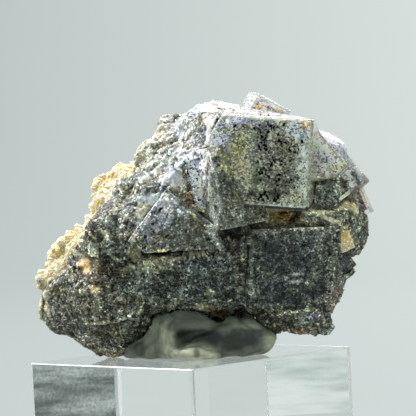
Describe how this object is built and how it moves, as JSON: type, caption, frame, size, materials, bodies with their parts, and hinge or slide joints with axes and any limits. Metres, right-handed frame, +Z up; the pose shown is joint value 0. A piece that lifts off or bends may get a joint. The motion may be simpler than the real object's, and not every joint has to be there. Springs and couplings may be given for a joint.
{
  "type": "fluorite specimen on a display block",
  "caption": "Mineral specimen: intergrown fluorite cubes on dark host rock with a yellow drusy crust, held upright by grey tack on a clear square display block.",
  "frame": {"origin": "middle of the display block's underside", "axes": "+Z up, -Y towards the viewer of the specimen's display side, +X to that viewer's right"},
  "size_m": [0.0791, 0.0714, 0.084],
  "materials": {
    "fluorite_and_host_rock": "dark grey peppered rock and crystal with glassy cube faces, a pitted greenish clear cube at the top and a pale yellow sugary crust at the back left",
    "grey_mineral_tack": "dull grey-green putty with thumbed folds and fine drag lines",
    "clear_acrylic": "polished clear acrylic with broken edges"
  },
  "bodies": {
    "root": {"fluorite_specimen": "fluorite_and_host_rock", "mounting_tack": "grey_mineral_tack", "acrylic_block": "clear_acrylic"}
  },
  "joints": []
}
